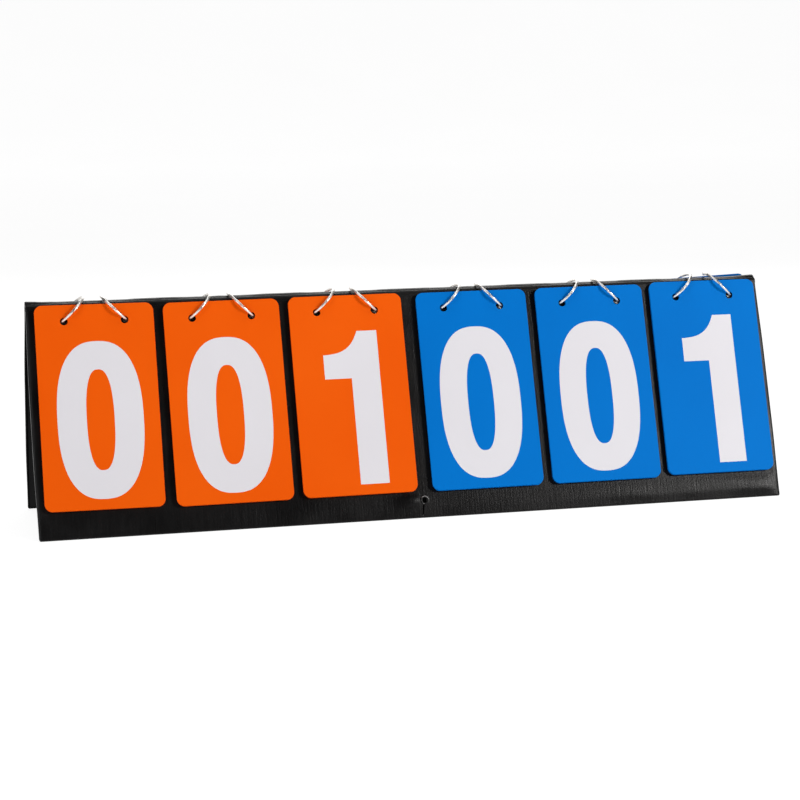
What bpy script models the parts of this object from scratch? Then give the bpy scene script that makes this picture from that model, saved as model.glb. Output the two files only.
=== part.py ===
"""Tabletop flip scoreboard: a leatherette board folded as a tent, with six ring-bound decks of number cards.

Metres, +Z up, +X to the right of someone who reads the score, +Y towards the back. The origin is on the table,
under the middle of the board. Decks are numbered 1 to 6 from the left.
"""

from math import atan2, cos, hypot, pi, radians, sin, sqrt

import bmesh
import bpy
from mathutils import Matrix, Vector

# Board
BOARD_LENGTH = 0.602
LEAN = radians(19.0)  # each panel from the vertical
PANEL_THICKNESS = 0.004
SLOPE_TO_FOOT = 0.1826  # hinge axis down the outer face to the table
SPINE_DEPTH = 0.0131
SPINE_CROWN = 0.0011  # the padded arch of the spine's cover, 0.3 mm below the lowest ring
SKIN = 0.0008  # leatherette with its paper backing
LINING = 0.0006
GREY_BOARD = 0.0020
WRAP = 0.0012  # leatherette and glue turned round the ends and the foot
GAP = 0.0003
CENTRE_FOLD_GAP = 0.006  # between left and right boards, where the closed tent folds in half
HINGE_CLEAR = 0.0027  # hinge axis to the panel's inner end
SKIN_TOP = 0.00125  # hinge axis to the end of the outer skin
EDGE_ROUND = 0.0013

# Relief hole and slit at the foot of the centre fold
RELIEF_RADIUS = 0.0022
RELIEF_RISE = 0.0145
RELIEF_OFFSET = 0.0011
SLIT_WIDTH = 0.0006
SLIT_TOP_OFFSET, SLIT_FOOT_OFFSET = -0.0006, -0.0024  # from the middle of the hole, at its height and at the foot

# Cards
CARD_WIDTH = 0.0915
CARD_HEIGHT = 0.160
CARD_THICKNESS = 0.0004
CARD_CORNER = 0.006
CARD_BELOW_HINGE = 0.0013  # hinge axis down the slope to a card's top edge
STACK_THICKNESS = 0.0027
HOLE_RADIUS = 0.003
HOLE_DROP = 0.013
HOLE_SPACING = 0.0468
DECK_CENTRES = (-0.2492, -0.1498, -0.0506, 0.0532, 0.1528, 0.2511)
DECK_HANG = (0.0006, -0.0005, 0.0, -0.0004, -0.0002, 0.0009)  # how much higher or lower each deck hangs
DECK_TURN = (-0.29, 0.17, 0.14, 0.10, 0.02, -0.14)  # degrees, anticlockwise from the front
DECKS = range(1, 7)
ORANGE_DECKS = (1, 2, 3)
FLIPPED_DECKS = (3, 6)  # their first card hangs at the back
FLIPPED_TURN = {3: 0.0, 6: -1.4}  # degrees from the line between its rings, anticlockwise from the back
FLIPPED_RAISE = {3: 0.0, 6: 0.0005}

# Binder rings
WIRE_RADIUS = 0.0011
RING_RADIUS = 0.0150  # centre of the wire
RING_LEAN = radians(46.0)
RING_JOINT_ANGLE = radians(168)  # the hinge joint, from the back of the ring over its top
RING_JOINT_LENGTH = 0.0065
WIRE_OVER_HOLE = 0.0009  # the wire bears near the top of the hole
WIRE_OVER_FLIPPED_HOLE = 0.0006
WIRE_OUTWARD = 0.00025
REAR_RISE = 0.0002  # how much higher the wire crosses the card behind than the card in front
REAR_RISE_OF = {(6, "left"): 0.0, (6, "right"): 0.0007}

# Lift axis of a top card, from the wire where it crosses the card
LIFT_BACK, LIFT_UP = 0.0213, 0.0083

# Holes in the other layers, long enough for a slanting wire that swings and slides
PANEL_HOLE_RADIUS = 0.0031
FRONT_HOLE_OUTWARD, FRONT_HOLE_DROP = 0.0021, 0.0024  # from the wire where it crosses the top card
FRONT_HOLE_REACH = 0.0020  # between the centres of the slot's two round ends
REAR_HOLE_OUTWARD, REAR_HOLE_DROP = 0.0021, 0.00135
REAR_HOLE_REACH = 0.0042
STACK_HOLE_OUTWARD, STACK_HOLE_RISE = 0.0015, -0.0007  # from the top card's hole
NEXT_HOLE_OUTWARD, NEXT_HOLE_RISE = 0.0007, 0.0002
FLIPPED_HOLE_OUTWARD = 0.0022
FLIPPED_HOLE_REACH = 0.0042

# Sides of round pieces
WIRE_SIDES = 8
HALF_RING_STEPS = 16
CARD_HOLE_SIDES = 20
PANEL_HOLE_SIDES = 14
CORNER_STEPS = 4
CROWN_STEPS = 8

HALF = PANEL_THICKNESS / 2
HINGE_Y = SPINE_DEPTH / 2 - HALF
HINGE_Z = SLOPE_TO_FOOT * cos(LEAN) - HALF * sin(LEAN)
TOP_Z = HINGE_Z + HALF
CARD_FACE = HALF + GAP + STACK_THICKNESS + GAP + CARD_THICKNESS + GAP + CARD_THICKNESS / 2
FLIPPED_FACE = HALF + GAP + CARD_THICKNESS / 2
SIDES = {"left": -1, "right": 1}


def clear_scene():
    for item in list(bpy.data.objects):
        bpy.data.objects.remove(item, do_unlink=True)


def make_material(name, colour, roughness, metallic=0.0):
    material = bpy.data.materials.new(name)
    material.use_nodes = True
    shader = material.node_tree.nodes["Principled BSDF"]
    shader.inputs["Base Color"].default_value = (*colour, 1.0)
    shader.inputs["Roughness"].default_value = roughness
    shader.inputs["Metallic"].default_value = metallic
    material.diffuse_color = (*colour, 1.0)
    return material


def make_empty(name, matrix):
    empty = bpy.data.objects.new(name, None)
    bpy.context.collection.objects.link(empty)
    empty.empty_display_size = 0.01
    empty.matrix_world = matrix
    return empty


def make_object(name, shape, material, parent, smooth=False):
    """One piece from a bmesh that is written in its parent's frame."""
    bmesh.ops.recalc_face_normals(shape, faces=shape.faces)
    mesh = bpy.data.meshes.new(name)
    shape.to_mesh(mesh)
    shape.free()
    if smooth:
        mesh.shade_smooth()
        mesh.set_sharp_from_angle(angle=radians(40))
    mesh.materials.append(material)
    piece = bpy.data.objects.new(name, mesh)
    bpy.context.collection.objects.link(piece)
    piece.parent = parent
    return piece


def cut(piece, cutter):
    """Leaves the cutter as a hidden guide and takes it from the piece."""
    cutter.hide_render = True
    cutter.display_type = "WIRE"
    boolean = piece.modifiers.new(cutter.name, "BOOLEAN")
    boolean.operation = "DIFFERENCE"
    boolean.solver = "EXACT"
    boolean.object = cutter


def extruded(outline, depth_vector):
    """A prism from a closed outline of points and the vector that it is extruded along."""
    shape = bmesh.new()
    base = shape.faces.new([shape.verts.new(p) for p in outline])
    grown = bmesh.ops.extrude_face_region(shape, geom=[base])
    moved = [v for v in grown["geom"] if isinstance(v, bmesh.types.BMVert)]
    bmesh.ops.translate(shape, verts=moved, vec=depth_vector)
    bmesh.ops.recalc_face_normals(shape, faces=shape.faces)
    return shape


def box(low, high):
    shape = bmesh.new()
    size = [b - a for a, b in zip(low, high)]
    middle = [(a + b) / 2 for a, b in zip(low, high)]
    bmesh.ops.create_cube(shape, size=1.0, matrix=Matrix.Translation(middle) @ Matrix.Diagonal((*size, 1.0)))
    return shape


def add_peg(shape, x, y, radius, sides, low, high, reach=0.0):
    """A peg along the local Z axis, added to a cutter; reach draws it out along X into a slot."""
    loops = []
    for z in (low, high):
        loop = []
        for step in range(sides):
            angle = 2 * pi * (step + 0.5) / sides
            end = reach / 2 if cos(angle) > 0 else -reach / 2
            loop.append(shape.verts.new((x + end + radius * cos(angle), y + radius * sin(angle), z)))
        shape.faces.new(loop)
        loops.append(loop)
    for step in range(sides):
        after = (step + 1) % sides
        shape.faces.new((loops[0][step], loops[0][after], loops[1][after], loops[1][step]))


def bevel_edges(shape, chosen, offset, segments=2):
    bmesh.ops.bevel(
        shape, geom=[e for e in shape.edges if chosen(e)], offset=offset, segments=segments, profile=0.5,
        affect="EDGES", clamp_overlap=True, material=-1,
    )


# Frames: each panel's local x runs along the board, y up its slope and z out of its outer face
def front_frame():
    return Matrix.Translation((0, -HINGE_Y, HINGE_Z)) @ Matrix.Rotation(pi / 2 - LEAN, 4, "X")


def rear_frame():
    place = Matrix.Translation((0, HINGE_Y, HINGE_Z)) @ Matrix.Rotation(pi, 4, "Z")
    return place @ Matrix.Rotation(pi / 2 - LEAN, 4, "X")


def foot_y(z):
    """Where a panel meets the table, at local depth z."""
    return -(HINGE_Z + z * sin(LEAN)) / cos(LEAN)


def hole_y(deck):
    return -CARD_BELOW_HINGE - HOLE_DROP + DECK_HANG[deck - 1]


def hole_x(deck, side):
    return DECK_CENTRES[deck - 1] + SIDES[side] * HOLE_SPACING / 2


def wire_x(deck, side):
    return hole_x(deck, side) + SIDES[side] * WIRE_OUTWARD


def front_crossing(deck, side):
    """World point where the wire goes through the top card."""
    return front_frame() @ Vector((wire_x(deck, side), hole_y(deck) + WIRE_OVER_HOLE, CARD_FACE))


def rear_crossing(deck, side):
    """World point where the wire goes through a card that hangs at the back."""
    height = front_crossing(deck, side).z + REAR_RISE_OF.get((deck, side), REAR_RISE)
    slope_y = (height - HINGE_Z - FLIPPED_FACE * sin(LEAN)) / cos(LEAN)
    return rear_frame() @ Vector((-wire_x(deck, side), slope_y, FLIPPED_FACE))


def ring_frame(deck, side):
    """Origin at the front crossing, y along the chord to the rear crossing, z up the leaning ring."""
    front = front_crossing(deck, side)
    chord = rear_crossing(deck, side) - front
    tilt = atan2(chord.z, chord.y)
    place = Matrix.Translation(front) @ Matrix.Rotation(tilt, 4, "X")
    return place @ Matrix.Rotation(-SIDES[side] * RING_LEAN, 4, "Y"), chord.length


# Board
def panel_cover(name, frame, material):
    """Outer skin, turned round both ends and the foot to form a tray for the boards."""
    end = BOARD_LENGTH / 2
    inner_skin = HALF - SKIN
    profile = [
        (-end, -SKIN_TOP, HALF),
        (-end, foot_y(HALF), HALF),
        (-end, foot_y(-HALF), -HALF),
        (-end, -HINGE_CLEAR, -HALF),
        (-end, -HINGE_CLEAR, inner_skin),
        (-end, -SKIN_TOP, inner_skin),
    ]
    shape = extruded(profile, (BOARD_LENGTH, 0, 0))

    def is_outer_edge(edge):
        a, b = (v.co for v in edge.verts)
        along_end = abs(a.x - b.x) < 1e-6 and abs(a.z - b.z) < 1e-6 and abs(abs(a.z) - HALF) < 1e-6
        foot_edge = abs(a.x - b.x) > 0.1 and abs(a.y - foot_y(HALF)) < 1e-6 and abs(b.z - HALF) < 1e-6
        return along_end or foot_edge

    bevel_edges(shape, is_outer_edge, EDGE_ROUND)
    cover = make_object(name, shape, material, frame)
    pocket = [
        (-end + WRAP, GAP, inner_skin),
        (-end + WRAP, foot_y(inner_skin) + WRAP, inner_skin),
        (-end + WRAP, foot_y(-HALF - GAP) + WRAP, -HALF - GAP),
        (-end + WRAP, GAP, -HALF - GAP),
    ]
    shape = extruded(pocket, (BOARD_LENGTH - 2 * WRAP, 0, 0))
    cut(cover, make_object(name + "_pocket_cutter", shape, material, frame))
    return cover


def panel_sheet(name, frame, material, x_low, x_high, z_low, z_high):
    """A board or lining that lies in the tray."""
    top = -HINGE_CLEAR
    outline = [
        (x_low, top, z_low),
        (x_low, foot_y(z_low) + WRAP + GAP, z_low),
        (x_low, foot_y(z_high) + WRAP + GAP, z_high),
        (x_low, top, z_high),
    ]
    return make_object(name, extruded(outline, (x_high - x_low, 0, 0)), material, frame)


def ring_hole_cutter(name, frame, crossing, outward, drop, reach):
    """Pegs for the ring holes of a panel, each a little outward of the wire and below it."""
    shape = bmesh.new()
    to_panel = frame.matrix_world.inverted()
    for deck in DECKS:
        for side, sign in SIDES.items():
            x, y, _ = to_panel @ (crossing(deck, side) + Vector((sign * outward, 0, 0)))
            add_peg(shape, x, y - drop, PANEL_HOLE_RADIUS, PANEL_HOLE_SIDES, -2 * HALF, 2 * HALF, reach)
    return make_object(name, shape, None, frame)


def relief_cutter(name, frame, turned):
    """The round relief hole at the foot of the centre fold, and the slit that runs down from it on a slant."""
    sign = -1 if turned else 1
    x, foot = sign * RELIEF_OFFSET, foot_y(HALF)
    shape = bmesh.new()
    add_peg(shape, x, foot + RELIEF_RISE, RELIEF_RADIUS, PANEL_HOLE_SIDES, -2 * HALF, 2 * HALF)
    hole = make_object(name + "_hole", shape, None, frame)
    top_x, foot_x = x + sign * SLIT_TOP_OFFSET, x + sign * SLIT_FOOT_OFFSET
    outline = [
        (top_x - SLIT_WIDTH / 2, foot + RELIEF_RISE, -2 * HALF),
        (foot_x - SLIT_WIDTH / 2, foot - HALF, -2 * HALF),
        (foot_x + SLIT_WIDTH / 2, foot - HALF, -2 * HALF),
        (top_x + SLIT_WIDTH / 2, foot + RELIEF_RISE, -2 * HALF),
    ]
    slit = make_object(name + "_slit", extruded(outline, (0, 0, 4 * HALF)), None, frame)
    return hole, slit


def make_panel(prefix, matrix, turned, leatherette, lining_cloth, grey_board):
    """Cover, lining and the two boards of one panel, on an empty at its hinge axis."""
    frame = make_empty(prefix + "_hinge", matrix)
    end = BOARD_LENGTH / 2
    inside = end - WRAP - GAP
    half_fold = CENTRE_FOLD_GAP / 2
    board_top = HALF - SKIN - GAP
    board_low = board_top - GREY_BOARD
    cover = panel_cover(prefix + "_cover", frame, leatherette)
    lining = panel_sheet(
        prefix + "_lining", frame, lining_cloth, -inside, inside, board_low - GAP - LINING, board_low - GAP
    )
    first, second = ("right", "left") if turned else ("left", "right")
    low_board = panel_sheet(
        f"{prefix}_board_{first}", frame, grey_board, -inside, -half_fold, board_low, board_top
    )
    high_board = panel_sheet(
        f"{prefix}_board_{second}", frame, grey_board, half_fold, inside, board_low, board_top
    )
    cutter_name = prefix + "_ring_hole_cutter"
    if turned:
        place = (rear_crossing, REAR_HOLE_OUTWARD, REAR_HOLE_DROP, REAR_HOLE_REACH)
    else:
        place = (front_crossing, FRONT_HOLE_OUTWARD, FRONT_HOLE_DROP, FRONT_HOLE_REACH)
    holes = ring_hole_cutter(cutter_name, frame, *place)
    relief = relief_cutter(prefix + "_relief_cutter", frame, turned)
    for piece in (cover, lining, low_board, high_board):
        cut(piece, holes)
    for cutter in relief:
        cut(cover, cutter)
    return frame


def make_spine(leatherette, lining_cloth, grey_board):
    """The narrow top of the tent, a tray under a padded arch, with two boards and a lining."""
    end = BOARD_LENGTH / 2
    side = HINGE_Y - GAP
    bottom = TOP_Z - PANEL_THICKNESS
    steps = [side * (2 * i / CROWN_STEPS - 1) for i in range(CROWN_STEPS + 1)]
    arch = [(-end, y, TOP_Z + SPINE_CROWN * (1 - (y / side) ** 2)) for y in steps]
    outline = [(-end, -side, bottom)] + arch + [(-end, side, bottom)]
    cover = make_object("spine_cover", extruded(outline, (2 * end, 0, 0)), leatherette, None)
    pocket = box((-end + WRAP, -2 * side, bottom - GAP), (end - WRAP, 2 * side, TOP_Z - SKIN))
    cut(cover, make_object("spine_pocket_cutter", pocket, leatherette, None))
    inside = end - WRAP - GAP
    board_top = TOP_Z - SKIN - GAP
    board_low = board_top - GREY_BOARD
    half_fold = CENTRE_FOLD_GAP / 2
    for name, low, high in (("left", -inside, -half_fold), ("right", half_fold, inside)):
        shape = box((low, -side, board_low), (high, side, board_top))
        make_object("spine_board_" + name, shape, grey_board, None)
    shape = box((-inside, -side, board_low - GAP - LINING), (inside, side, board_low - GAP))
    make_object("spine_lining", shape, lining_cloth, None)


def make_hinge_strip(name, sign, material):
    """The leatherette that turns round a hinge axis, from the spine's top towards the panel's outer face."""
    start, stop, steps = radians(90), radians(183), 8
    angles = [start + (stop - start) * i / steps for i in range(steps + 1)]
    outer = [(HALF * cos(a), HALF * sin(a)) for a in angles]
    inner = [((HALF - SKIN) * cos(a), (HALF - SKIN) * sin(a)) for a in reversed(angles)]
    outline = [(-BOARD_LENGTH / 2, sign * (HINGE_Y - y), HINGE_Z + z) for y, z in outer + inner]
    make_object(name, extruded(outline, (BOARD_LENGTH, 0, 0)), material, None, smooth=True)


# Cards
def card_outline(z):
    """A rectangle with round corners, centred on the hole line in x, its y from the hole line."""
    points = []
    right, top = CARD_WIDTH / 2, HOLE_DROP
    low = HOLE_DROP - CARD_HEIGHT
    corners = ((right, top, 0), (-right, top, 90), (-right, low, 180), (right, low, 270))
    for x, y, start in corners:
        centre_x = x - CARD_CORNER * (1 if x > 0 else -1)
        centre_y = y - CARD_CORNER * (1 if y > 0 else -1)
        for step in range(CORNER_STEPS + 1):
            angle = radians(start + 90 * step / CORNER_STEPS)
            points.append((centre_x + CARD_CORNER * cos(angle), centre_y + CARD_CORNER * sin(angle), z))
    return points


def make_card(name, parent, middle, thickness, turn, material, outward=0.0, rise=0.0, reach=0.0):
    """A card or a block of cards; middle is the point between its holes, which lie outward and up from there."""
    shape = extruded(card_outline(-thickness / 2), (0, 0, thickness))
    card = make_object(name, shape, material, parent)
    shape = bmesh.new()
    for sign in SIDES.values():
        x = sign * (HOLE_SPACING / 2 + outward)
        add_peg(shape, x, rise, HOLE_RADIUS, CARD_HOLE_SIDES, -thickness, thickness, reach)
    cutter = make_object(name + "_hole_cutter", shape, material, card)
    cut(card, cutter)
    card.location = middle
    card.rotation_euler = (0, 0, radians(turn))
    return card


def make_deck(deck, colour, panel):
    """The stack and second card on the front panel, and the top card on its lift axis."""
    frame = front_frame()
    centre = DECK_CENTRES[deck - 1]
    turn = DECK_TURN[deck - 1]
    crossing = front_crossing(deck, "left")
    lift = Matrix.Translation((centre, crossing.y + LIFT_BACK, crossing.z + LIFT_UP))
    lift = lift @ frame.to_quaternion().to_matrix().to_4x4()
    empty = make_empty(f"card_{deck}_lift", lift)
    middle = Vector((centre, hole_y(deck), HALF + GAP + STACK_THICKNESS / 2))
    make_card(
        f"card_{deck}_stack", panel, middle, STACK_THICKNESS, turn, colour, STACK_HOLE_OUTWARD, STACK_HOLE_RISE
    )
    middle.z = HALF + GAP + STACK_THICKNESS + GAP + CARD_THICKNESS / 2
    make_card(
        f"card_{deck}_next", panel, middle, CARD_THICKNESS, turn, colour, NEXT_HOLE_OUTWARD, NEXT_HOLE_RISE
    )
    middle.z = CARD_FACE
    make_card(f"card_{deck}_top", empty, lift.inverted() @ frame @ middle, CARD_THICKNESS, turn, colour)


def make_flipped_card(deck, colour, panel):
    """A card that hangs behind the rear panel, tilted as its two rings lie."""
    points = {side: rear_frame().inverted() @ rear_crossing(deck, side) for side in SIDES}
    slant = atan2(points["left"].y - points["right"].y, points["left"].x - points["right"].x)
    middle = (points["left"] + points["right"]) / 2
    middle.y += FLIPPED_RAISE[deck] - WIRE_OVER_FLIPPED_HOLE
    card = make_card(
        f"card_{deck}_flipped", panel, middle, CARD_THICKNESS, 0.0, colour, FLIPPED_HOLE_OUTWARD, 0.0,
        FLIPPED_HOLE_REACH,
    )
    card.rotation_euler = (0, 0, slant + radians(FLIPPED_TURN[deck]))


# Rings
def half_ring(chord, start):
    """Half of a ring of wire, its ends cut on a slant; its frame is ring_frame's."""
    shape = bmesh.new()
    centre_y = chord / 2
    centre_z = sqrt(RING_RADIUS**2 - centre_y**2)
    slant = RING_JOINT_LENGTH / (2 * WIRE_RADIUS * RING_RADIUS)
    end_gap = GAP / RING_RADIUS * hypot(1.0, RING_JOINT_LENGTH / (2 * WIRE_RADIUS))
    span = pi - end_gap
    loops = []
    for step in range(HALF_RING_STEPS + 1):
        loop = []
        for side in range(WIRE_SIDES):
            around = 2 * pi * side / WIRE_SIDES
            axial = WIRE_RADIUS * cos(around)
            radius = RING_RADIUS + WIRE_RADIUS * sin(around)
            angle = start + end_gap / 2 + span * step / HALF_RING_STEPS + slant * axial
            point = (axial, centre_y + radius * cos(angle), centre_z + radius * sin(angle))
            loop.append(shape.verts.new(point))
        loops.append(loop)
    for first, second in zip(loops, loops[1:]):
        for side in range(WIRE_SIDES):
            after = (side + 1) % WIRE_SIDES
            shape.faces.new((first[side], first[after], second[after], second[side]))
    shape.faces.new(loops[0])
    shape.faces.new(loops[-1])
    return shape


def make_ring(deck, side, steel):
    """Two half rings on an empty at the swing axis, the chord between the holes."""
    matrix, chord = ring_frame(deck, side)
    swing = make_empty(f"ring_{deck}_{side}_swing", matrix)
    upper_start = RING_JOINT_ANGLE - pi
    for half, start in (("upper", upper_start), ("lower", RING_JOINT_ANGLE)):
        make_object(f"ring_{deck}_{side}_{half}", half_ring(chord, start), steel, swing, smooth=True)


def main():
    clear_scene()
    leatherette = make_material("black leatherette", (0.012, 0.012, 0.013), 0.5)
    lining_cloth = make_material("black lining", (0.015, 0.015, 0.016), 0.7)
    grey_board = make_material("grey board", (0.28, 0.26, 0.24), 0.9)
    orange = make_material("orange card", (0.91, 0.112, 0.003), 0.45)
    blue = make_material("blue card", (0.0, 0.18, 0.65), 0.45)
    steel = make_material("nickel-plated wire", (0.72, 0.70, 0.68), 0.18, 1.0)
    front = make_panel("front", front_frame(), False, leatherette, lining_cloth, grey_board)
    rear = make_panel("rear", rear_frame(), True, leatherette, lining_cloth, grey_board)
    make_spine(leatherette, lining_cloth, grey_board)
    make_hinge_strip("front_hinge_strip", -1, leatherette)
    make_hinge_strip("rear_hinge_strip", 1, leatherette)
    for deck in DECKS:
        colour = orange if deck in ORANGE_DECKS else blue
        make_deck(deck, colour, front)
        if deck in FLIPPED_DECKS:
            make_flipped_card(deck, colour, rear)
        for side in SIDES:
            make_ring(deck, side, steel)


main()
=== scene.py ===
import random
from math import cos, hypot, pi, radians, sin, sqrt

import bmesh
import bpy
from mathutils import Matrix, Vector, noise


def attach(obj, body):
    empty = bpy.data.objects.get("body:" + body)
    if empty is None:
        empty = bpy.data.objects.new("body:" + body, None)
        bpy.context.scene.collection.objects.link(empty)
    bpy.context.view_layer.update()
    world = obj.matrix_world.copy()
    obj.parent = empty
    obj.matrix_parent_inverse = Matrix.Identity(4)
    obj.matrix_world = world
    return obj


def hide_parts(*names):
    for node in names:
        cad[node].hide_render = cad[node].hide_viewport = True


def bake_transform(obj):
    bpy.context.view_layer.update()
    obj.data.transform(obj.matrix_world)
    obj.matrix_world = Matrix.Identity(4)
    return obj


# Flip scoreboard: a leatherette tent board with six decks of number cards in binder rings. Metres, +Z up.

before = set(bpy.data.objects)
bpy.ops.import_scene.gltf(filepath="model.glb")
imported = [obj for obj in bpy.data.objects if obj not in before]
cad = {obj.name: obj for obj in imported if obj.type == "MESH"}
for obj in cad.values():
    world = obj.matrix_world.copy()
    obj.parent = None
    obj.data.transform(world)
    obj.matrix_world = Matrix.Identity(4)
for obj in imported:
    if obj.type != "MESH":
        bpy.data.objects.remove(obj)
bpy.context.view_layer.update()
scene = bpy.context.scene
print("frame loaded:", len(cad), "nodes")


# Shared places, the same named values as the part

board = {
    "length": 0.602,
    "leanDegrees": 19.0,
    "thickness": 0.004,
    "slopeToFoot": 0.1826,   # hinge axis down to the table
    "spineDepth": 0.0131,
}
half = board["thickness"] / 2
end = board["length"] / 2
lean = radians(board["leanDegrees"])
hingeY = board["spineDepth"] / 2 - half
hingeZ = board["slopeToFoot"] * cos(lean) - half * sin(lean)
topZ = hingeZ + half
standing = Matrix.Rotation(pi / 2 - lean, 4, "X")  # z out of the panel's outer face, y up its slope
frontPanel = Matrix.Translation((0, -hingeY, hingeZ)) @ standing
rearPanel = Matrix.Translation((0, hingeY, hingeZ)) @ Matrix.Rotation(pi, 4, "Z") @ standing

decks = {
    "centres": (-0.2492, -0.1498, -0.0506, 0.0532, 0.1528, 0.2511),
    "hang": (0.0006, -0.0005, 0.0, -0.0004, -0.0002, 0.0009),  # how much higher or lower each deck hangs
    "turnDegrees": (-0.29, 0.17, 0.14, 0.10, 0.02, -0.14),
    "topNumeral": "001001",
    "nextNumeral": "112112",
    "cardWidth": 0.0915,
    "cardHeight": 0.160,
    "cardThickness": 0.0004,
    "cardCorner": 0.006,
    "cardBelowHinge": 0.0013,
    "holeDrop": 0.013,
    "holeSpacing": 0.0468,
    "holeRadius": 0.003,
    "stackLow": 0.0023,      # the stack, measured out from the middle of the panel
    "stackHigh": 0.0050,
    "nextMiddle": 0.0055,
    "topMiddle": 0.0062,
}
sides = {"left": -1, "right": 1}


def footY(z):  # where a panel meets the table, at depth z in its thickness
    return -(hingeZ + z * sin(lean)) / cos(lean)


def holeY(deck):
    return -decks["cardBelowHinge"] - decks["holeDrop"] + decks["hang"][deck - 1]


# Camera, lights and floor

view = {
    "focalPixels": 2151.4,
    "photoPixels": 800.0,
    "sensorWidth": 36.0,
    "right": (0.9721, -0.2343, -0.0120),
    "up": (0.0485, 0.1511, 0.9874),
    "forward": (0.2296, 0.9604, -0.1583),
    "toFirstCard": (-2.59688, 0.81147, 18.20005),  # from the camera to the first card's top, in card widths
}


def makeCamera():
    data = bpy.data.cameras.new("photoCamera")
    data.sensor_width = view["sensorWidth"]
    data.lens = view["focalPixels"] * view["sensorWidth"] / view["photoPixels"]
    data.clip_end = 30.0
    camera = bpy.data.objects.new("photoCamera", data)
    scene.collection.objects.link(camera)
    right, up, forward = (Vector(view[k]) for k in ("right", "up", "forward"))
    cardFace = decks["topMiddle"] + decks["cardThickness"] / 2
    cardTop = decks["hang"][0] - decks["cardBelowHinge"]
    firstCard = frontPanel @ Vector((decks["centres"][0], cardTop, cardFace))
    reach = decks["cardWidth"] * Vector(view["toFirstCard"])
    place = firstCard - (right * reach.x + up * reach.y + forward * reach.z)
    turn = Matrix((right, up, -forward)).transposed().to_4x4()
    camera.matrix_world = Matrix.Translation(place) @ turn
    scene.camera = camera


makeCamera()

lighting = {
    "key": {"at": (1.32, -1.52, 0.87), "size": (0.40, 0.40), "watts": 21.5, "colour": (1.0, 0.985, 0.965)},
    "fill": {"at": (-1.9, -1.6, 0.9), "size": (1.2, 1.2), "watts": 11.0, "colour": (0.97, 0.985, 1.0)},
    "top": {"at": (0.0, -0.25, 1.8), "size": (1.6, 0.8), "watts": 9.0, "colour": (1.0, 1.0, 1.0)},
    "back": {"at": (0.3, 1.3, 1.05), "size": (1.8, 0.7), "watts": 8.0, "colour": (1.0, 0.99, 0.975)},
    "aim": (0, 0, 0.09),
    "worldStrength": 0.05,
    "worldSeen": 0.98,    # as the camera sees it
    "paperGlow": 0.90,    # the paper glows a little, so it stays white far from the lights
}


def makeLight(name, settings):
    data = bpy.data.lights.new(name, "AREA")
    data.shape = "RECTANGLE"
    data.size, data.size_y = settings["size"]
    data.energy = settings["watts"]
    data.color = settings["colour"]
    lamp = bpy.data.objects.new(name, data)
    scene.collection.objects.link(lamp)
    lamp.location = settings["at"]
    aim = Vector(lighting["aim"]) - Vector(settings["at"])
    lamp.rotation_euler = aim.to_track_quat("-Z", "Y").to_euler()


for name in ("key", "fill", "top", "back"):
    makeLight(name + "Light", lighting[name])

scene.view_settings.view_transform = "Standard"


backdrop = {
    "halfSize": (9.0, 7.0, 1.0),
    "middle": (0, -1.5, -0.0002),
    "curveSteps": 12,
    "curveStep": 0.45,
    "wallHeight": 6.0,
}


def makeFloor():
    mesh = bmesh.new()
    bmesh.ops.create_grid(mesh, x_segments=1, y_segments=1, size=1.0)
    bmesh.ops.scale(mesh, vec=backdrop["halfSize"], verts=mesh.verts)
    bmesh.ops.translate(mesh, vec=backdrop["middle"], verts=mesh.verts)
    backEdge = max(mesh.edges, key=lambda e: e.verts[0].co.y + e.verts[1].co.y)
    for step in range(backdrop["curveSteps"]):  # it curves up behind the floor
        grown = bmesh.ops.extrude_edge_only(mesh, edges=[backEdge])["geom"]
        corners = [v for v in grown if isinstance(v, bmesh.types.BMVert)]
        angle = (step + 0.5) * pi / (2 * backdrop["curveSteps"])
        rise = (0, backdrop["curveStep"] * cos(angle), backdrop["curveStep"] * sin(angle))
        bmesh.ops.translate(mesh, vec=rise, verts=corners)
        grownEdges = [e for e in grown if isinstance(e, bmesh.types.BMEdge)]
        backEdge = next(e for e in grownEdges if all(v in corners for v in e.verts))
    wall = bmesh.ops.extrude_edge_only(mesh, edges=[backEdge])["geom"]
    wallTop = [v for v in wall if isinstance(v, bmesh.types.BMVert)]
    bmesh.ops.translate(mesh, vec=(0, 0, backdrop["wallHeight"]), verts=wallTop)
    floor = finishPiece("studioFloor", mesh, [floorFinish], smooth=True)


# Shader helpers

def newFinish(name, colour, roughness, metallic=0.0):
    finish = bpy.data.materials.new(name)
    finish.use_nodes = True
    shader = finish.node_tree.nodes["Principled BSDF"]
    shader.inputs["Base Color"].default_value = (*colour, 1.0)
    shader.inputs["Roughness"].default_value = roughness
    shader.inputs["Metallic"].default_value = metallic
    return finish, finish.node_tree, shader


def addNode(tree, kind, **values):
    node = tree.nodes.new(kind)
    for key, value in values.items():
        if key in node.inputs:
            node.inputs[key].default_value = value
        else:
            setattr(node, key, value)
    return node


def objectPlace(tree, scale=(1, 1, 1), turn=(0, 0, 0)):
    coordinates = addNode(tree, "ShaderNodeTexCoord")
    mapping = addNode(tree, "ShaderNodeMapping", Scale=scale, Rotation=turn)
    tree.links.new(coordinates.outputs["Object"], mapping.inputs["Vector"])
    return mapping.outputs["Vector"]


def addNoise(tree, place, scale, detail=2.0, roughness=0.5):
    texture = addNode(tree, "ShaderNodeTexNoise", Scale=scale, Detail=detail, Roughness=roughness)
    tree.links.new(place, texture.inputs["Vector"])
    return texture.outputs["Fac"]


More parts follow.
